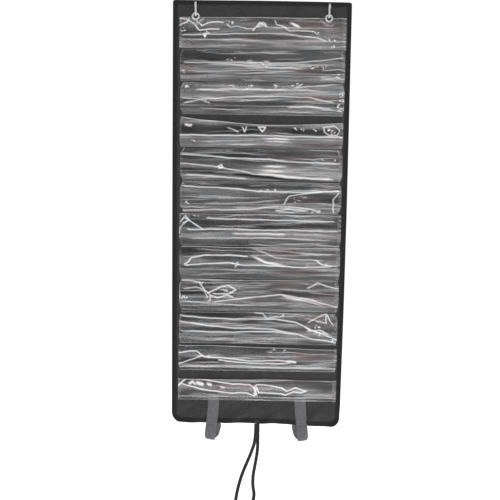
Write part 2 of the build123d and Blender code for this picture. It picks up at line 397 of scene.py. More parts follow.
# ---------------------------------------------------------------- camera and tie cords
CAMERA_AT = (-17.34, 14.2 - 2400.0, -423.0)
camera_data = bpy.data.cameras.new("camera")
camera_data.sensor_width = 36.0
camera_data.lens = 84.3
camera_data.clip_end = 50.0
camera = bpy.data.objects.new("camera", camera_data)
bpy.context.collection.objects.link(camera)
camera.matrix_world = (
    Matrix.Translation(Vector(CAMERA_AT) * MM)
    @ Matrix.Rotation(math.radians(90 - 1.785), 4, "X")
    @ Matrix.Rotation(math.radians(0.962), 4, "Z")
)
bpy.context.scene.camera = camera

TIE_X, TIE_TOP = 3.0, -855.5
TIE_WIDTH, TIE_THICK = 6.9, 2.0
LEFT_TIE = (
    (-2.2, 0), (-2.4, -27), (-6.2, -47), (-16, -73), (-27.5, -100), (-36.5, -130), (-42.5, -164), (-42, -200),
    (-37, -238), (-36, -276), (-39.5, -312)
)
RIGHT_TIE = (
    (2.2, 0), (2.2, -27), (2.4, -55), (-2.2, -84), (-6.5, -108), (-6.6, -130), (-2.6, -148), (-7.5, -168),
    (-11.5, -196), (-10, -230), (-4.5, -266), (-4, -304)
)


def tie(side_name, y, route):
    name = "tie_cord_" + side_name
    curve = bpy.data.curves.new(name + "_line", "CURVE")
    curve.dimensions = "3D"
    curve.resolution_u = 24
    spline = curve.splines.new("NURBS")
    spline.points.add(len(route) - 1)
    for p, (x, z) in zip(spline.points, route):
        p.co = ((TIE_X + x) * MM, y * MM, (TIE_TOP + z) * MM, 1)
    spline.order_u = 3
    spline.use_endpoint_u = True
    line = bpy.data.objects.new(name + "_line", curve)
    bpy.context.collection.objects.link(line)
    mesh = bpy.data.meshes.new_from_object(line)
    points = np.array([v.co for v in mesh.vertices]) / MM
    bpy.data.meshes.remove(mesh)
    bpy.data.objects.remove(line)
    s = np.concatenate([[0], np.cumsum(np.linalg.norm(np.diff(points, axis=0), axis=1))])
    t = np.gradient(points, axis=0)
    t /= np.linalg.norm(t, axis=1)[:, None]
    side = np.cross(t, (0, 1.0, 0))
    # a flat braid with a soft edge and a shallow groove down the middle
    outline = []
    for w in np.arange(20) * math.pi / 10:
        a = math.copysign(abs(math.cos(w)) ** 0.6, math.cos(w))
        b = math.copysign(abs(math.sin(w)) ** 0.75, math.sin(w)) * (1 - 0.22 * math.exp(-((a / 0.3) ** 2)))
        outline.append((a * TIE_WIDTH / 2, b * TIE_THICK / 2))
    plait = 1 + 0.05 * np.sin(s * 2 * math.pi / 2.6)
    rings = [
        [
            points[i] + side[i] * a * (plait[i] if a > 0 else 2 - plait[i]) + np.array((0, b, 0)) for a,
            b in outline
        ]
        for i in range(len(points))
    ]
    p, f, uv = sweep(rings, [a for a, _ in outline], s)
    o = piece(name, p, f, BRAID, uv)
    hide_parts("tie_" + side_name)
    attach(o, "bottom")
    return o


tie("left", 13.75, LEFT_TIE)
tie("right", 16.25, RIGHT_TIE)


# ---------------------------------------------------------------- panel cloth and its binding
CLOTH_INSET = 0.8


def z_levels(high, low, folds):
    """Heights from high to low: close together round each fold, wider elsewhere."""
    z = set(np.linspace(high, low, max(2, int((high - low) / 5) + 1)).tolist())
    for f in folds:
        z = {q for q in z if abs(q - f) > BEND + 0.5}
        z |= set(np.arange(f - BEND, f + BEND + 0.1, 0.6875).tolist())
    return np.array(sorted((q for q in z if low <= q <= high), reverse=True))


def corner_reach(z):
    """How far in from the panel's straight sides its edge lies at height z, where the corners round it."""
    top, foot = PANEL_TOP - CLOTH_INSET, PANEL_FOOT + CLOTH_INSET
    rt, rf = TOP_CORNER - CLOTH_INSET, FOOT_CORNER - CLOTH_INSET
    a = np.clip(z - (top - rt), 0, rt)
    b = np.clip((foot + rf) - z, 0, rf)
    return rt - np.sqrt(rt**2 - a**2) + rf - np.sqrt(rf**2 - b**2)


STRIPS = ROWS - 1


def strip_span(k):
    return (
        PANEL_TOP if k == 1 else middle_z(k),
        PANEL_FOOT if k == STRIPS else middle_z(k + 1),
    )


def bend(o):
    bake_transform(o)


def cloth_strip(k):
    high, low = strip_span(k)
    high = min(high, PANEL_TOP - CLOTH_INSET)
    low = max(low, PANEL_FOOT + CLOTH_INSET)
    z = z_levels(high, low, [fold_z(k)])
    ends = []
    if k == 1:
        ends = high - (TOP_CORNER - CLOTH_INSET) * (1 - np.cos(np.linspace(0, math.pi / 2, 8)))
    if k == STRIPS:
        ends = low + (FOOT_CORNER - CLOTH_INSET) * (1 - np.cos(np.linspace(0, math.pi / 2, 8)))
    z = np.array(sorted(set(np.round(np.concatenate([z, ends]), 4).tolist()), reverse=True))
    x = np.linspace(-1, 1, 91)
    half = (PANEL_HALF - CLOTH_INSET) - corner_reach(z)
    xx = x[None, :] * half[:, None]
    zz = np.broadcast_to(z[:, None], xx.shape)
    front = hang(np.stack([xx, np.full_like(xx, CLOTH_FRONT), zz], -1))
    back = hang(np.stack([xx, np.full_like(xx, CLOTH_BACK), zz], -1))
    p, f = slab(front, back)
    uv = np.concatenate([np.stack([xx, zz], -1).reshape(-1, 2)] * 2)
    o = piece(f"panel_cloth_{k:02d}", p, f, CLOTH, uv)
    nodes = ["backing_header"] if k == 1 else []
    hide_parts(*nodes, "backing_" + section(k + 1))
    bend(o)
    return o


# across the binding: (distance in from the panel's edge, y), along its front leg and back along its rear one
TAPE_PROFILE = (
    (10.0, 14.15), (10.0, 13.62), (9.7, 13.42), (8.9, 13.38), (8.2, 13.46), (7.4, 13.36),
    (5.0, 13.32), (2.6, 13.36), (1.2, 13.5), (0.35, 14.0), (0.0, 15.0),
    (0.35, 16.0), (1.2, 16.5), (2.6, 16.64), (5.0, 16.68), (7.4, 16.64),
    (8.2, 16.54), (8.9, 16.62), (9.7, 16.58), (10.0, 16.38), (10.0, 15.85),
)


def end_run(z, radius, into, left_angles, right_angles):
    """The panel's top or foot edge with its two corners, from left to right; into points inward along Z."""
    run = []
    for side, angles in ((-1, left_angles), (1, right_angles)):
        cx, cz = side * (PANEL_HALF - radius), z + into * radius
        if side == 1:
            run += [
                (x, z, 0.0, into) for x in np.linspace(-PANEL_HALF + radius, PANEL_HALF - radius, 70)[1:-1]
            ]
        for a in np.radians(np.linspace(*angles, 10)):
            c, h = math.cos(a), math.sin(a)
            run.append((cx + radius * c, cz + radius * h, -c, -h))
    return run


def tape_path(k):
    """The stretches of the panel's edge in strip k: lists of (x, z, inward x, inward z)."""
    high, low = strip_span(k)
    left, right = [], []
    top_z = PANEL_TOP - TOP_CORNER if k == 1 else high
    foot_z = PANEL_FOOT + FOOT_CORNER if k == STRIPS else low
    for z in z_levels(top_z, foot_z, [fold_z(k)]):
        left.append((-PANEL_HALF, z, 1.0, 0.0))
        right.append((PANEL_HALF, z, -1.0, 0.0))
    if k == 1:
        over = end_run(PANEL_TOP, TOP_CORNER, -1.0, (180, 90), (90, 0))
        return [left[::-1][:-1] + over + right[1:]]
    if k == STRIPS:
        under = end_run(PANEL_FOOT, FOOT_CORNER, 1.0, (180, 270), (270, 360))
        return [left[:-1] + under + right[::-1][1:]]
    return [left, right]


def inward(x, z, dx, dz, d):
    """A point d in from the panel's edge, mitred where d is more than a corner's radius."""
    x, z = x + dx * d, z + dz * d
    return (
        min(max(x, d - PANEL_HALF), PANEL_HALF - d),
        min(max(z, PANEL_FOOT + d), PANEL_TOP - d),
    )


def tape_strip(k):
    parts, seams = [], []
    across = np.cumsum([0] + [math.dist(a, b) for a, b in zip(TAPE_PROFILE, TAPE_PROFILE[1:])])
    for path in tape_path(k):
        path = np.array(path)
        s = np.concatenate([[0], np.cumsum(np.linalg.norm(np.diff(path[:, :2], axis=0), axis=1))])
        rings = [[(*inward(x, z, dx, dz, d), y) for d, y in TAPE_PROFILE] for x, z, dx, dz in path]
        rings = np.array(rings)[..., [0, 2, 1]]
        parts.append(sweep(hang(rings), across, s))
        for y, n in ((13.40, -1.0), (16.60, 1.0)):
            line = hang([(q[0], y, q[1]) for q in (inward(*point, 8.2) for point in path)])
            seams.append(stitches(line, (0, n, 0)))
    o = piece(f"edge_binding_{k:02d}", *stack(parts)[:2], TAPE, stack(parts)[2])
    nodes = ["binding_header"] if k == 1 else []
    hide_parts(*nodes, "binding_" + section(k + 1))
    bend(o)
    p, f, uv = stack(seams)
    bend(piece(f"binding_stitches_{k:02d}", p, f, THREAD, uv))


for k in range(1, STRIPS + 1):
    cloth_strip(k)
    tape_strip(k)


# ---------------------------------------------------------------- clear film pockets
def to_line(u, v, points):
    """Distance from each (u, v) to a run of points, and how far along it (0 to 1) the nearest point is."""
    points = np.asarray(points, float)
    best, along = np.full(u.shape, 1e9), np.zeros(u.shape)
    runs = np.linalg.norm(np.diff(points, axis=0), axis=1)
    total, done = runs.sum(), 0.0
    for a, b, run in zip(points[:-1], points[1:], runs):
        d = b - a
        t = np.clip(((u - a[0]) * d[0] + (v - a[1]) * d[1]) / max(run**2, 1e-9), 0, 1)
        dist = np.hypot(u - a[0] - t * d[0], v - a[1] - t * d[1])
        near = dist < best
        best = np.where(near, dist, best)
        along = np.where(near, (done + t * run) / total, along)
        done += run
    return best, along


class Field:
    """The film's relief over one pocket: lift (towards the front), with painted highlights along its creases
    and soft bands of painted reflection.
    """

    def __init__(self, row, u, v):
        self.u, self.v = u, v
        self.lift, self.white, self.haze, self.warm = (np.zeros(u.shape) for _ in range(4))
        self.random = np.random.default_rng(100 + row)
        # creases wander a little about their points
        self.near_u = u + 1.3 * np.sin(v / 4.3 + row) + 0.7 * np.sin(u / 9.1 + 2 * row)
        self.near_v = (
            v + 0.9 * np.sin(u / 43 + 2 * row) + 0.3 * np.sin(u / 8.7 + row) + 0.2 * np.sin(u / 3.9 + 3 * row)
            + 0.3 * np.sin(v / 2.9 + u / 21)
        )

    def crease(self, points, lift=1.0, width=3.0, white=0.4, line=1.1, taper=0.12):
        d, along = to_line(self.near_u, self.near_v, points)
        fade = smooth(0, taper, along) * smooth(1, 1 - taper, along) if taper else 1.0
        self.lift += 0.38 * lift * fade * np.exp(-d / width)
        self.white += 1.25 * white * fade * np.exp(-((d / line) ** 2))

    def band(self, v_left, v_right, width, strength, left=-400, right=400):
        """A soft band of painted reflection from one end of the pocket to the other; a negative strength
        paints shade instead, as less milkiness lets the dark cloth show through.
        """
        middle = v_left + (v_right - v_left) * (self.u + POCKET_HALF) / (2 * POCKET_HALF)
        middle = middle + 1.1 * np.sin(self.u / 41 + v_left) + 0.5 * np.sin(self.u / 17 + v_right)
        ends = smooth(left - 30, left + 30, self.u) * smooth(right + 30, right - 30, self.u)
        self.haze += 0.5 * strength * ends * np.exp(-(((self.v - middle) / width) ** 2))

    def blush(self, u, v, half_u, half_v):
        """A patch where the film has a brownish cast."""
        d = ((self.u - u) / half_u) ** 2 + ((self.v - v) / half_v) ** 2
        self.warm += np.exp(-(d**2)) * (0.7 + 0.3 * np.sin(self.u / 4.1 + self.v) * np.sin(self.v / 2.3))

    def spot(self, u, v, size=3.0, white=0.8, count=5):
        """A crumpled spot with painted highlights along its little creases."""
        r = self.random
        for _ in range(count):
            a = r.uniform(0, 2 * math.pi)
            c = np.array((u, v)) + r.normal(0, size * 0.5, 2) * (1.6, 0.8)
            d = np.array((math.cos(a), math.sin(a) * 0.6)) * size * r.uniform(0.4, 0.9)
            self.crease([c - d, c, c + d * (0.8, -0.3)], r.uniform(0.3, 1.0), 1.4, white * 0.8, 1.0, 0.3)

    def ripples(self, count, lift=0.8, lean=0.04, low=3.0, high=60.0, white=0.12, left=-165.0, right=165.0):
        """Long creases lying nearly level, with painted highlights along them."""
        r = self.random
        for _ in range(count):
            length = r.uniform(50, 210)
            u0 = r.uniform(left - 20, right - 40)
            v0, slope = r.uniform(low, high), r.normal(0, lean)
            us = np.linspace(u0, min(u0 + length, right + 10), 6)
            vs = v0 + slope * (us - u0) + r.normal(0, 0.7, 6)
            self.crease(
                np.stack([us, vs], -1), r.normal(0, 1) * lift * 0.6 + lift * 0.5, r.uniform(1.6, 4.2),
                white * r.uniform(0, 1.6), 1.0, 0.3
            )


def waves(u, v, seed, along=90.0, across=9.0, n=14):
    """Smooth seeded ripples, long in u and short in v, about -1 to 1."""
    r = np.random.default_rng(seed)
    out = np.zeros(u.shape)
    for _ in range(n):
        ku, kv = r.normal(0, 1) * 2 * math.pi / along * 0.6, 2 * math.pi / across * r.uniform(0.35, 1.1)
        out += np.sin(ku * u + kv * v + r.uniform(0, 6.28)) * r.uniform(0.5, 1)
    return out / math.sqrt(n) * 0.9


BLUSHES = {
    1: ((70, 12, 40, 9), (130, 16, 45, 12), (-20, 44, 50, 4)),
    2: ((90, 40, 35, 8), (-150, 44, 18, 8)),
    3: ((110, 30, 40, 6),),
    4: ((-100, 30, 40, 5), (30, 32, 26, 6), (120, 58, 60, 5)),
    5: ((35, 18, 36, 6), (110, 16, 50, 5)),
    6: ((95, 38, 34, 9),),
    8: ((80, 52, 45, 8), (40, 8, 70, 5)),
    9: ((75, 9, 45, 7), (135, 30, 30, 10)),
    10: ((120, 14, 30, 8),),
    11: ((110, 24, 40, 9),),
    12: ((-60, 22, 60, 6), (90, 10, 50, 5)),
}


def landmarks(row, f):
    """The larger creases with their painted highlights, and the bands of painted reflection, that each pocket
    shows.

    They are given in millimetres: u from the middle, v down from the mouth.
    """
    c, g, sp = f.crease, f.band, f.spot
    for u, v, half_u, half_v in BLUSHES.get(row, ()):
        f.blush(u, v, half_u, half_v)
    if row == 1:
        g(12, 34, 14, 0.16)
        g(51, 50, 3, 0.18)
        g(61, 59, 4.5, 0.22)
        c([(-167, 19), (-153, 14), (-147, 6)], 1.0, 2, 0.8, 1.1, 0)
        c([(-167, 6), (-157, 7), (-143, 12), (-124, 30), (-111, 28), (-83, 27)], 1.2, 2, 0.75, 1.1, 0.05)
        c([(-135, 8), (-121, 21), (-111, 16), (-93, 13), (-78, 15)], 1.2, 2, 0.75, 1.1, 0.05)
        c([(-76, 15), (-62, 24), (-50, 22), (-30, 27), (-12, 26)], 1.1, 2, 0.5, 1.0)
        c([(-18, 31), (-6, 14), (10, 23)], 1.2, 2, 0.9, 1.1, 0.05)
        c([(-12, 24), (2, 13), (8, 20)], 1.0, 2, 0.7, 1.0)
        c([(24, 6), (27, 17), (44, 21), (57, 29), (80, 28), (107, 29), (110, 34)], 1.2, 3, 0.6, 1.0, 0.05)
        c([(52, 11), (65, 17), (79, 22)], 1.0, 2, 1.0, 2.0, 0.45)
        c([(-166, 40), (-90, 38), (-20, 36), (46, 35), (106, 41), (132, 48)], 1.4, 3, 0.45, 1.0, 0.03)
        for u, v in ((-160, 29), (-62, 14), (138, 44), (110, 33), (-2, 22), (142, 60)):
            sp(u, v, 4, 0.8, 4)
        sp(-111, 38, 7, 0.9, 7)
        f.ripples(6, 0.5, white=0.15)
    elif row == 2:
        g(37, 30, 6, 0.16)
        g(43, 37, 3, 0.16, right=60)
        g(57, 60, 4, 0.18)
        c([(-160, 29), (-90, 30), (-20, 27), (60, 26), (120, 22), (168, 16)], 1.4, 3, 0.45, 1.1, 0.02)
        c([(-120, 34), (-40, 33), (50, 31), (110, 30)], 1.2, 3, 0.3, 1.2)
        c([(-165, 44), (-120, 47), (-60, 45), (0, 42), (80, 44)], 1.2, 3, 0.25, 1.2)
        for u, v in ((-20, 25), (0, 31), (12, 27), (-60, 22), (104, 36), (122, 36), (-158, 46), (158, 54)):
            sp(u, v, 5, 0.55, 5)
        f.ripples(12, 0.6, low=20, white=0.2)
    elif row == 3:
        g(9, 9, 4, 0.2)
        g(24, 20, 8, 0.28)
        g(33, 36, 3, 0.14)
        g(63, 53, 3, 0.16, left=-40)
        c([(60, 12), (120, 6), (168, 0)], 1.4, 3, 0.45)
        c([(-140, 17), (-60, 14), (0, 15), (60, 17)], 1.6, 3, 0.45, 1.6)
        c([(-160, 46), (-120, 36), (-60, 30), (20, 28), (100, 31), (150, 40)], 1.6, 4, 0.5, 1.2, 0.03)
        c([(-164, 34), (-130, 36), (-100, 44)], 1.2, 3, 0.4)
        c([(50, 50), (100, 49), (150, 52)], 1.2, 3, 0.5, 1.4)
        for u, v in (
            (-148, 12), (-60, 6), (-25, 8), (30, 7), (66, 6), (78, 5), (162, 36), (160, 44), (164, 24),
            (162, 54)
        ):
            sp(u, v, 5, 0.7, 5)
        f.ripples(13, 0.7, white=0.25)
    elif row == 4:
        g(11, 20, 7, 0.22)
        g(30, 30, 5, -0.06)
        g(43, 42, 3, 0.12)
        g(51, 51, 6, 0.18)
        g(61, 60, 2, 0.2)
        c([(-168, 41), (-60, 42), (40, 42), (168, 41)], 1.2, 2, 0.55, 1.1, 0)
        c([(-4, 47), (36, 47.5), (76, 47)], 1.0, 2, 0.75, 1.6, 0.45)
        c([(0, 53), (40, 53.5), (72, 53)], 1.0, 2, 0.65, 1.3, 0.45)
        c([(-4, 25), (3, 34), (10, 25), (-3, 25)], 1.6, 2, 0.8, 1.2, 0)
        c([(-38, 26), (-34, 35), (-30, 25)], 1.4, 2, 0.6, 1.1, 0)
        c([(-70, 26), (-56, 30), (-44, 36)], 1.2, 2, 0.45)
        c([(128, 22), (150, 19), (160, 27), (156, 38), (138, 38), (128, 30), (128, 22)], 1.4, 2, 0.5, 1.2, 0)
        for u, v, n in (
            (-148, 21, 5), (-139, 51, 3), (138, 28, 6), (146, 34, 5), (70, 26, 5), (84, 28, 3), (112, 28, 3)
        ):
            sp(u, v, 5 if u > 130 else 4, 0.8, n)
        c([(-152, 20), (-144, 22)], 1.0, 2, 0.9, 2.2, 0)
        f.ripples(5, 0.5)
    elif row == 5:
        g(24, 28, 3, 0.12)
        g(40, 40, 8, 0.14)
        g(42, 54, 8, 0.22, left=0)
        g(44, 70, 4, -0.2)
        g(58, 66, 4, 0.2, right=20)
        c([(-165, 14), (-70, 21), (15, 22), (75, 27), (165, 30)], 1.4, 3, 0.55, 1.1, 0.02)
        c([(-167, 32), (-80, 41), (-10, 52), (90, 61)], 1.6, 3, 0.45, 1.2, 0.02)
        c([(-10, 50), (60, 56), (120, 61), (158, 63)], 1.2, 3, 0.8, 1.8)
        c([(-4, 36), (30, 36.5), (64, 36)], 1.0, 2, 0.75, 1.8, 0.45)
        c([(-2, 45), (30, 45.5), (60, 45)], 1.0, 2, 0.6, 1.4, 0.45)
        c([(-160, 56), (-100, 59), (-20, 63)], 1.2, 2, 0.6, 1.3)
        c([(-84, 40), (-78, 36), (-74, 41), (-82, 43)], 1.0, 2, 0.7, 1.1, 0)
        for u, v in ((112, 24), (128, 23), (150, 23)):
            sp(u, v, 3, 0.6, 3)
        f.ripples(8, 0.7, low=2, high=30, white=0.2)
    elif row == 6:
        g(4, 2, 3, 0.12)
        g(20, 22, 4, 0.16)
        g(33, 30, 10, 0.1, right=40)
        g(54, 54, 4, 0.2)
        g(62, 63, 2.5, 0.15)
        g(38, 40, 9, -0.05, left=60)
        c([(-160, 13), (-50, 15), (0, 21), (45, 21), (90, 23), (166, 18)], 1.2, 2, 0.6, 1.2, 0.02)
        c([(49, 47), (61, 31), (93, 25), (158, 18)], 1.2, 2, 0.55, 1.1, 0)
        c([(160, 22), (152, 36), (150, 52), (154, 62)], 1.2, 2, 0.5, 1.1, 0)
        c([(-165, 64), (-93, 59), (-17, 57), (31, 51), (99, 55), (127, 62)], 1.4, 3, 0.55, 1.1, 0)
        c([(35, 60), (60, 57), (99, 60), (66, 64), (35, 60)], 1.2, 2, 0.5, 1.1, 0)
        c([(-120, 47), (-20, 44), (50, 38)], 1.2, 3, 0.25, 1.2)
        for u, v in ((0, 19), (16, 18), (30, 18), (80, 38), (94, 33), (112, 60), (122, 62), (-150, 46)):
            sp(u, v, 4, 0.6, 4)
        f.ripples(9, 0.6, white=0.18)
    elif row == 7:
        g(3, 2, 4, 0.12)
        g(12, 13, 2, 0.1)
        g(33, 33, 2, 0.16)
        g(42, 42, 7, 0.2)
        c([(-163, 17), (-155, 9), (-135, 21), (-115, 31)], 1.4, 2, 0.6, 1.2, 0)
        c([(-166, 41), (-160, 28), (-152, 17)], 1.2, 2, 0.45, 1.1, 0)
        c([(-152, 6), (-146, 14), (-158, 20)], 1.2, 2, 0.6, 1.2, 0)
        c([(-110, 9), (-55, 12), (50, 13), (155, 12)], 1.4, 3, 0.6, 1.2, 0.02)
        c([(-150, 33), (-60, 32), (10, 34), (80, 32), (166, 33)], 1.4, 3, 0.55, 1.2, 0.02)
        c([(-160, 50), (-60, 51), (10, 50), (160, 51)], 1.2, 3, 0.5, 1.2)
        c([(-60, 41), (0, 42), (60, 41)], 1.2, 2, 0.4, 1.8)
        for u, v in ((-160, 3), (-130, 4), (-146, 3)):
            sp(u, v, 4, 0.5, 4)
        f.ripples(8, 0.6, white=0.2)
    elif row == 8:
        g(1, 4, 3, 0.2, left=0)
        g(20, 18, 5, 0.1)
        g(33, 33, 6, 0.22)
        g(50, 55, 6, 0.06)
        c([(-158, 39), (-146, 33), (-138, 25), (-110, 20), (-60, 19), (-20, 20)], 1.6, 3, 0.7, 1.2, 0.02)
        c(
            [(-158, 40), (-100, 37), (-60, 35), (-38, 38), (40, 38), (100, 41), (166, 38)], 1.2, 2, 0.65, 1.2,
            0.02
        )
        c([(-17, 3), (10, 11), (35, 21), (80, 24), (140, 27)], 1.4, 3, 0.35, 1.2)
        c([(-20, 16), (14, 31), (60, 38)], 1.4, 3, 0.95, 2.2, 0.4)
        c([(118, 25), (131, 35), (155, 38)], 1.2, 2, 0.7, 1.2)
        c([(-20, 4), (30, 6), (100, 12), (165, 14)], 1.0, 3, 0.3)
        for u, v in ((-48, 36), (102, 37), (142, 37), (-46, 39), (-163, 4)):
            sp(u, v, 4, 0.7, 4)
        f.ripples(4, 0.5)
    elif row == 9:
        g(8, 4, 4, 0.08)
        g(20, 20, 4, 0.14)
        g(38, 38, 4, 0.18)
        g(49, 52, 4, 0.1)
        g(62, 62, 2.5, 0.16)
        c([(-165, 4), (-164, 26), (-165, 48)], 1.2, 2, 0.6, 1.2, 0)
        c([(-163, 5), (-142, 5), (-125, 9), (-113, 21), (-100, 33), (-100, 44)], 1.4, 2, 0.6, 1.2, 0)
        c([(-152, 22), (-130, 18), (-112, 24), (-106, 40)], 1.2, 2, 0.5, 1.1, 0)
        c([(-105, 30), (-76, 16), (-63, 13), (-44, 21), (-63, 31), (-93, 30)], 1.2, 2, 0.7, 1.1, 0)
        c([(-100, 34), (-84, 38), (-66, 33), (-54, 36)], 1.0, 2, 0.6, 1.1, 0)
        c([(-93, 48), (-23, 37), (45, 31), (103, 40), (168, 56)], 1.6, 3, 0.6, 1.3, 0.02)
        c([(45, 33), (90, 42), (140, 53)], 1.2, 2, 0.5, 1.2)
        c([(103, 17), (124, 6), (145, 13), (166, 17)], 1.4, 2, 0.55, 1.2, 0)
        c([(-165, 47), (-120, 50), (-40, 53), (60, 52)], 1.2, 3, 0.4)
        for u, v in ((-70, 22), (-62, 26), (-150, 40), (-160, 42), (-98, 46), (-120, 8)):
            sp(u, v, 4.5, 0.7, 5)
        f.ripples(8, 0.6, white=0.2)
    elif row == 10:
        g(12, 8, 6, 0.1, left=0)
        g(26, 27, 6, 0.16)
        g(41, 41, 3, 0.1)
        g(54, 56, 4, 0.2)
        c([(-162, 9), (-62, 15), (37, 15), (79, 19), (104, 31), (129, 39), (166, 54)], 1.6, 3, 0.6, 1.3, 0)
        c([(-162, 21), (-62, 33), (20, 35), (79, 43), (112, 53), (165, 60)], 1.6, 3, 0.6, 1.3, 0)
        c([(-165, 40), (-60, 42), (40, 41), (100, 48)], 1.2, 3, 0.5, 1.2)
        c([(108, 19), (126, 8), (141, 1), (150, 12), (158, 23)], 1.4, 2, 0.6, 1.1, 0)
        c([(125, 16), (145, 20), (141, 5)], 1.2, 2, 0.6, 1.1, 0)
        c([(100, 30), (112, 36), (130, 34), (150, 44)], 1.2, 2, 0.7, 1.1, 0)
        c([(45, 9), (20, 14), (10, 4), (-10, 2)], 1.2, 2, 0.5, 1.1)
        for u, v in ((128, 26), (112, 36), (124, 40), (46, 8), (136, 44), (162, 58)):
            sp(u, v, 5, 0.6, 5)
        f.ripples(8, 0.7, white=0.2)
    elif row == 11:
        g(20, 22, 7, 0.08)
        g(24, 31, 5, 0.12)
        g(46, 46, 4, 0.14)
        c(
            [
                (-165, 18), (-140, 15), (-125, 15), (-117, 24), (-104, 28), (-60, 30), (-21, 34), (45, 31),
                (83, 34), (45, 38), (-21, 38), (-80, 34)
            ],
            1.4, 2, 0.75, 1.2, 0
        )
        c([(-165, 41), (-140, 33), (-125, 28), (-117, 24)], 1.2, 2, 0.6, 1.1, 0)
        c([(60, 32), (76, 34), (84, 35)], 1.0, 2, 0.8, 1.5)
        c([(-160, 47), (-40, 46), (60, 47), (160, 46)], 1.0, 2, 0.45, 1.2)
        for u, v in ((40, 8), (30, 14), (60, 11), (-104, 26)):
            sp(u, v, 4, 0.45, 4)
        f.ripples(6, 0.5)
    else:
        g(17, 30, 8, 0.2)
        g(26, 20, 7, 0.1, right=60)
        c(
            [
                (-168, 21), (-152, 10), (-140, 2), (-127, 4), (-102, 8), (-52, 14), (-14, 14), (-4, 26),
                (1, 32), (-3, 38)
            ],
            1.2, 2, 0.85, 1.2, 0
        )
        c(
            [(-168, 20), (-160, 16), (-140, 22), (-115, 27), (-77, 31), (-52, 33), (-19, 31), (-4, 38)], 1.2,
            2, 0.85, 1.2, 0
        )
        c(
            [
                (-6, 19), (1, 14), (24, 16), (52, 21), (64, 29), (82, 21), (105, 28), (94, 31), (79, 30),
                (64, 37), (52, 33), (6, 31), (-2, 19)
            ],
            1.2, 2, 0.85, 1.2, 0
        )
        c([(-141, 16), (-134, 12), (-131, 16)], 1.0, 2, 0.9, 2.2, 0)
        c([(-124, 14), (-116, 16)], 1.0, 2, 1.0, 3.6, 0)
        c([(-102, 16), (-97, 17)], 1.0, 2, 0.9, 2.8, 0)
        c([(-76, 21), (-71, 22)], 1.0, 2, 0.35, 2.4, 0)
        c([(-8, 20), (-1, 24), (-4, 33), (2, 36)], 1.0, 2, 0.7, 1.4, 0)
        c([(-160, 8), (-60, 5), (20, 8), (120, 3), (168, 4)], 0.8, 4, 0.3)
        f.ripples(5, 0.5)


# how the mouth hangs where it isn't level, (u, v), and how bright the painted highlight along its edge is
MOUTHS = {
    1: ((-170, 3.0), (0, 1.0), (170, 0.0)),
    4: ((-170, 3.5), (-117, 10.5), (-49, 15.5), (3, 17.5), (68, 17.5), (170, 12.0)),
    11: ((-170, 2.0), (0, 4.0), (170, 7.0)),
    12: ((-170, 4.5), (170, 4.5)),
}
MOUTH_HIGHLIGHT = {
    1: 0.35, 2: 0.08, 3: 0.12, 4: 0.5, 5: 0.05, 6: 0.12, 7: 0.25, 8: 0.6, 9: 0.4, 10: 0.25, 11: 0.5, 12: 0.4
}
FLAP = 11.0                     # of loose film below the hem's seam
LEFT_INSET = 3.6                # of the film's left end from its place in the CAD
HEM_LIFT = 0.85                 # of the film's front face off the cloth, along the hem
# how far each pocket's ends draw in at its mouth and foot: (left, right)
PINCH = {
    2: (5, 3), 3: (7, 4), 4: (5, 6), 5: (8, 5), 6: (8, 7), 7: (4, 3), 8: (6, 3), 9: (7, 5), 10: (5, 7),
    11: (3, 4)
}


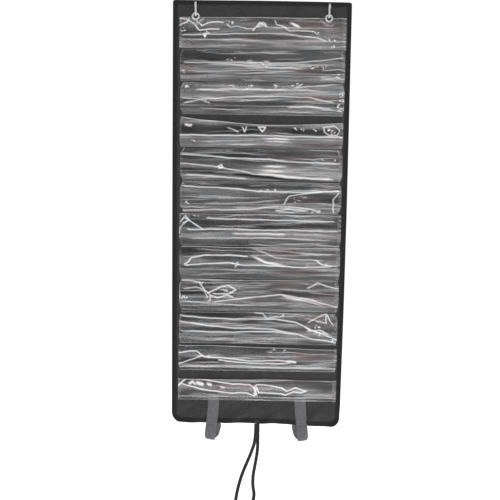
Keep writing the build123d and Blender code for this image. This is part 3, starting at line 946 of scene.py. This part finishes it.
def pocket(row):
    height = LAST_POCKET if row == ROWS else POCKET
    flap = FLAP if row < STRIPS else 0.0
    full = height + flap
    nu, nv = 321, 79
    across = np.linspace(-1, 1, nu)[None, :]
    u = np.where(across < 0, across * (POCKET_HALF - LEFT_INSET), across * POCKET_HALF)
    r = np.random.default_rng(40 + row)
    phase = r.uniform(0, 6.28, 3)
    wander = (0.6 * np.sin(u / 55 + phase[0]) + 0.4 * np.sin(u / 23 + phase[1])) * (0.4 if row == 1 else 1.0)
    ends = smooth(POCKET_HALF, POCKET_HALF - 14, np.abs(u))
    droop = np.interp(u, *zip(*MOUTHS.get(row, ((-170, 0.0), (170, 0.0))))) + 1.1 + wander * ends
    t = np.linspace(0, 1, nv)[:, None]
    v = droop + (full - droop) * t
    # the ends draw in a little between the top and the seam
    left, right = PINCH.get(row, (0, 0))
    at_mouth, at_foot = r.uniform(0.2, 1.0, 2)
    pull = 0.3 + at_mouth * np.exp(-((v / 9) ** 2)) + at_foot * np.exp(-(((v - full) / 9) ** 2))
    pinch = np.where(u < 0, left, right) * pull
    uu = u * (1 - pinch / POCKET_HALF * smooth(POCKET_HALF - 30, POCKET_HALF, np.abs(u)))
    f = Field(row, uu, v)
    landmarks(row, f)
    f.ripples(18, 0.25, lean=0.03, low=2, high=full - 2, white=0.18)

    knee = height - 16.0 + 0.6 * np.sin(u / 40 + phase[2])
    hem_top = height - HEM
    body = 5.6 + 0.9 * np.sin(u / 38 + phase[1]) + 0.5 * np.sin(u / 13 + phase[0])
    lip = 3.4 + 1.5 * np.sin(u / 47 + phase[2])
    fall = np.clip((hem_top - v) / (hem_top - knee), 0, 1) ** 0.9
    profile = np.where(v < knee, lip + (body - lip) * smooth(0, 13, v), body * fall)
    free = smooth(hem_top, hem_top - 5, v)
    f.lift += 0.3 * waves(uu, v, 7 + row, 120.0, 17.0) * (0.35 + 0.65 * smooth(0, 6, v))

    ends = smooth(POCKET_HALF, POCKET_HALF - 13, np.abs(u))
    hem_lift = np.full(u.shape, HEM_LIFT)
    if row == ROWS:
        over = (smooth(STRAP_WIDTH / 2 + 5, STRAP_WIDTH / 2 + 1, np.abs(u - s * STRAP_X)) for s in (-1, 1))
        hem_lift = hem_lift + 1.1 * sum(over)
    depth = np.maximum(profile * ends + f.lift * free * ends, 0.0) + hem_lift
    loose = smooth(height, height + 6, v)
    depth = depth + loose * (0.12 + 0.18 * np.sin(uu / 21 + phase[1]) + 0.12 * np.sin(uu / 9 + phase[2]))
    depth = 8.0 - np.log1p(np.exp((8.0 - depth) * 2.0)) / 2.0       # soft limit at the pocket's depth
    if row == 1:                                                    # held flat under the eyelets' rims
        for s in (-1, 1):
            near = np.hypot(uu - s * EYELET_X, v - (mouth_z(1) - EYELET_Z))
            depth = 0.75 + (depth - 0.75) * smooth(EYELET_RIM + 1, EYELET_RIM + 14, near)
    depth = np.clip(depth, 0.55, 7.9)

    # painted highlights lie on the creases, the mouth's edge, the hem's two folds and the puckered ends,
    # partly the film's own stress whitening
    seam_white = 0.3 if row >= STRIPS else 0.14
    white = f.white + MOUTH_HIGHLIGHT[row] * np.exp(-(((v - droop) / 1.0) ** 2))
    white = (
        white + seam_white * np.exp(-(((v - hem_top) / 0.9) ** 2)) + 0.16 * np.exp(-(((v - full) / 1.0) ** 2))
    )
    rough_end = smooth(POCKET_HALF - 12, POCKET_HALF - 3, np.abs(uu))
    white += rough_end * 0.3 * np.clip(0.2 + 0.6 * waves(uu * 4, v * 2.2, 300 + row), 0, 1)
    # painted reflection bands over a slight milkiness of the film's own, lighter along the hem and towards
    # the right
    haze = (
        f.haze + 0.012 + 0.014 * waves(uu, v, 200 + row, 140, 30)
        + 0.035 * smooth(hem_top - 1, hem_top + 1, v)
    )
    haze = haze + 0.02 * smooth(-30, 120, uu) + 0.05 * f.warm

    z = mouth_z(row) - v
    front = hang(np.stack([uu, CLOTH_FRONT - depth, z], -1))
    front[..., 1] = np.minimum(front[..., 1], CLOTH_FRONT - 0.5)
    back = front + (0, 0.32, 0)
    p, faces = slab(front, back)
    uv = np.concatenate([np.stack([uu + 400 * row, v], -1).reshape(-1, 2)] * 2)
    both = lambda a: np.concatenate([np.clip(a, 0, 1).ravel()] * 2)
    if row == 1:                                                    # cut round the eyelets
        mid = p[faces].mean(1)
        keep = np.ones(len(faces), bool)
        for s in (-1, 1):
            keep &= np.hypot(mid[:, 0] - s * EYELET_X, mid[:, 2] - EYELET_Z) > EYELET_RIM - 1.2
        faces = faces[keep]
    o = piece(
        f"film_pocket_{row:02d}", p, faces, FILM, uv,
        attributes={
            "white": both(white), "haze": both(haze), "warm": both(f.warm * (1 - np.clip(1.6 * white, 0, 1)))
        }
    )
    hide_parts(f"pocket_film_{row:02d}")
    if flap:
        bend(o)
    else:
        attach(o, section(row))

    us = np.linspace(-POCKET_HALF + 5, POCKET_HALF - 2, 120)
    seam_y = CLOTH_FRONT - np.interp(us, u[0], hem_lift[0]) - 0.02
    line = np.stack([us, seam_y, np.full(len(us), mouth_z(row) - height + 3.5)], -1)
    behind = line * (1, 0, 1) + (0, CLOTH_BACK + 0.02, 0)
    pts, fcs, suv = stack([
        stitches(hang(line), (0, -1.0, 0), 3.6, 2.5, 0.5, 0.26),
        stitches(hang(behind), (0, 1.0, 0), 3.6, 2.5, 0.5, 0.26),
    ])
    stitch = piece(f"hem_stitches_{row:02d}", pts, fcs, THREAD, suv)
    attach(stitch, section(row))


for row in range(1, ROWS + 1):
    pocket(row)


# ---------------------------------------------------------------- webbing loops
STRAP_SHIFT = 2.2


def strap(side_name, side):
    """A sewn loop: down the front, under, and up the back. The front leg leans outward, as it hangs."""
    corners = [
        (13.55, -799.0), (13.5, -838.5), (12.45, -843.5), (12.4, -856.5), (9.8, -866.0), (9.6, -884.0),
        (11.5, -889.0), (15.0, -890.6), (18.5, -889.0), (20.4, -884.0), (20.2, -866.0), (17.6, -856.5),
        (17.5, -843.5), (16.55, -838.5), (16.5, -789.5)
    ]
    path = []
    for i, (a, b) in enumerate(zip(corners, corners[1:])):
        n = max(2, int(math.dist(a, b) / 1.5))
        path += [(a[0] + (b[0] - a[0]) * j / n, a[1] + (b[1] - a[1]) * j / n) for j in range(n)]
    path = np.array(path + [corners[-1]])
    for _ in range(5):
        path[1:-1] = path[1:-1] * 0.5 + (path[:-2] + path[2:]) * 0.25
    s = np.concatenate([[0], np.cumsum(np.linalg.norm(np.diff(path, axis=0), axis=1))])
    t = np.gradient(path, axis=0)
    t /= np.linalg.norm(t, axis=1)[:, None]
    normal = np.stack([t[:, 1], -t[:, 0]], -1)
    front = s < s[-1] * 0.505
    low = path[:, 1]
    drop = np.clip((-800 - low) / 90, 0, 1)
    twist = np.where(front, 0.0, smooth(0.45, 0.72, drop) * smooth(1.02, 0.85, drop))
    lean = (
        side * (6.2 * np.where(front, smooth(0.1, 1.0, drop), smooth(0.62, 1.0, drop)) - 5.5 * twist)
        + STRAP_SHIFT
    )
    n = 61
    a = np.linspace(-1, 1, n)
    edge = 1 - np.clip((np.abs(a) - 0.94) / 0.06, 0, 1) ** 2 * 0.55
    ribs = 0.10 * np.cos(a * math.pi * 11) * (np.abs(a) < 0.93)
    rings = []
    rnd = np.random.default_rng(9 + (side > 0))
    wob = np.cumsum(rnd.normal(0, 0.02, len(s)))
    wob -= np.linspace(wob[0], wob[-1], len(s))
    for i in range(len(path)):
        taper = 1 - 0.14 * smooth(0.9, 1.0, drop[i])
        x = side * STRAP_X * (1 - NARROWING * 0.97) + lean[i] + wob[i] + a * taper * STRAP_WIDTH / 2
        skew = (
            1.6 * side * a * smooth(0.8, 1.0, drop[i]) + 1.2 * (np.abs(a) ** 3) * smooth(0.85, 1.0, drop[i])
        )
        outer = STRAP_THICK / 2 * edge + ribs
        top = [
            (x[j], path[i, 0] + normal[i, 0] * outer[j], path[i, 1] + skew[j] + normal[i, 1] * outer[j])
            for j in range(n)
        ]
        bottom = [
            (x[j], path[i, 0] - normal[i, 0] * outer[j], path[i, 1] + skew[j] - normal[i, 1] * outer[j])
            for j in range(n - 1, -1, -1)
        ]
        rings.append(top + bottom)
    rings = np.array(rings)
    across = np.concatenate([a * STRAP_WIDTH / 2, a[::-1] * STRAP_WIDTH / 2])
    p, f, uv = sweep(rings, across, s)
    o = piece("webbing_" + side_name, p, f, WEBBING, uv)
    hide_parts("strap_" + side_name)
    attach(o, "bottom")
    # sewn box with a cross on the back leg, and two rows at the foot of the front leg
    cx = side * STRAP_X * (1 - NARROWING * 0.97) + STRAP_SHIFT
    y = 17.3
    box = [(-9, -796), (9, -796), (9, -830), (-9, -830), (-9, -796)]
    lines = [
        [(cx + x, y, z) for x, z in box], [(cx - 9, y, -796), (cx + 9, y, -830)],
        [(cx + 9, y, -796), (cx - 9, y, -830)]
    ]
    parts = [stitches(line, (0, 1.0, 0), 3.4, 2.4, 0.6, 0.3) for line in lines]
    for z in (-846.5, -852.5):
        parts.append(
            stitches(
                [(cx + side * 2.6 - 11, 11.72, z), (cx + side * 2.6 + 11, 11.72, z)], (0, -1.0, 0), 3.4, 2.4,
                0.6, 0.3
            )
        )
    pts, fcs, suv = stack(parts)
    seam = piece("webbing_stitches_" + side_name, pts, fcs, THREAD, suv)
    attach(seam, "bottom")


strap("left", -1)
strap("right", 1)

# ---------------------------------------------------------------- bar tack over the tie cords
tack = []
for i in range(13):
    x = TIE_X - 4.6 + i * 9.2 / 12
    tack.append(stitches([(x, 13.0, -848.6), (x + 0.25, 13.0, -852.6)], (0, -1.0, 0), 4.0, 3.8, 0.75, 0.45))
for z in (-849.2, -850.6, -852.0):
    tack.append(stitches([(TIE_X - 5, 12.9, z), (TIE_X + 5, 12.9, z)], (0, -1.0, 0), 2.4, 2.0, 0.5, 0.3))
pts, fcs, suv = stack(tack)
bar = piece("tie_bar_tack", pts, fcs, THREAD, suv)
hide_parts("tie_bartack")
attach(bar, "bottom")

# ---------------------------------------------------------------- metal parts keep their CAD shapes
for name, material in (
    ("eyelet_left", EYELET_METAL), ("eyelet_right", EYELET_METAL),
    ("eyelet_washer_left", EYELET_METAL), ("eyelet_washer_right", EYELET_METAL),
    ("hook_left", HOOK_METAL), ("hook_right", HOOK_METAL),
):
    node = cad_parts[name]
    for i in range(len(node.material_slots)):
        node.material_slots[i].material = material
    if not node.material_slots:
        node.data.materials.append(material)

# ---------------------------------------------------------------- studio
FLOOR_Z = -1250.0


def stage_piece(name, points, faces, material):
    o = piece(name, points, faces, material)
    return o


floor_shader = Shader("floor_look")
speck = floor_shader.noise(floor_shader.space(), 6.0, 4.0, 0.6)
floor_colour = floor_shader.ramp(speck, ((0.3, (0.93, 0.93, 0.93)), (0.7, (0.96, 0.96, 0.96))))
FLOOR = floor_shader.finish(
    floor_shader.node(
        "ShaderNodeBsdfPrincipled",
        {
            "Base Color": floor_colour, "Roughness": 0.8, "Emission Color": (1, 1, 1, 1),
            "Emission Strength": 0.75
        }
    ).outputs[0]
)
stage_piece(
    "floor", [(-9000, -9000, FLOOR_Z), (9000, -9000, FLOOR_Z), (9000, 9000, FLOOR_Z), (-9000, 9000, FLOOR_Z)],
    [(0, 1, 2, 3)], FLOOR
).visible_glossy = False


def softbox(name, at, aim, width, height, power):
    data = bpy.data.lights.new(name, "AREA")
    data.shape = "RECTANGLE"
    data.size, data.size_y = width, height
    data.energy = power
    o = bpy.data.objects.new(name, data)
    o.location = at
    o.rotation_mode = "QUATERNION"
    o.rotation_quaternion = (Vector(aim) - Vector(at)).to_track_quat("-Z", "Y")
    bpy.context.collection.objects.link(o)
    return o


softbox("key", (0.5, -2.3, 1.5), (0, 0, -0.45), 2.2, 0.7, 9)
softbox("fill", (-2.2, -1.8, -0.6), (0, 0, -0.45), 0.9, 1.8, 13).visible_glossy = False
softbox("low", (0.8, -1.9, -1.05), (0, 0, -0.4), 2.2, 0.6, 18).visible_glossy = False
softbox("rear", (0.3, 2.4, 1.2), (0, 0, -0.45), 2.4, 1.4, 26)

world = bpy.data.worlds.new("studio")
bpy.context.scene.world = world
SKY = ((0.0, 0.36), (0.36, 0.30), (0.46, 0.16), (0.54, 0.13), (0.64, 0.30), (1.0, 0.46))    # by height
sky = Shader("studio", world, "ShaderNodeOutputWorld")
up = sky.node("ShaderNodeSeparateXYZ", {0: sky.node("ShaderNodeTexCoord").outputs["Generated"]}).outputs[2]
glow = sky.ramp(sky.maths("MULTIPLY_ADD", up, 0.5, 0.5), [(at, (grey,) * 3) for at, grey in SKY])
seen = sky.node("ShaderNodeLightPath").outputs["Is Camera Ray"]
shown = sky.node("ShaderNodeMix", {0: seen, 6: glow, 7: (1.05, 1.05, 1.05, 1)}, data_type="RGBA").outputs[2]
sky.finish(sky.node("ShaderNodeBackground", {0: shown}).outputs[0])
bpy.context.scene.view_settings.view_transform = "Standard"
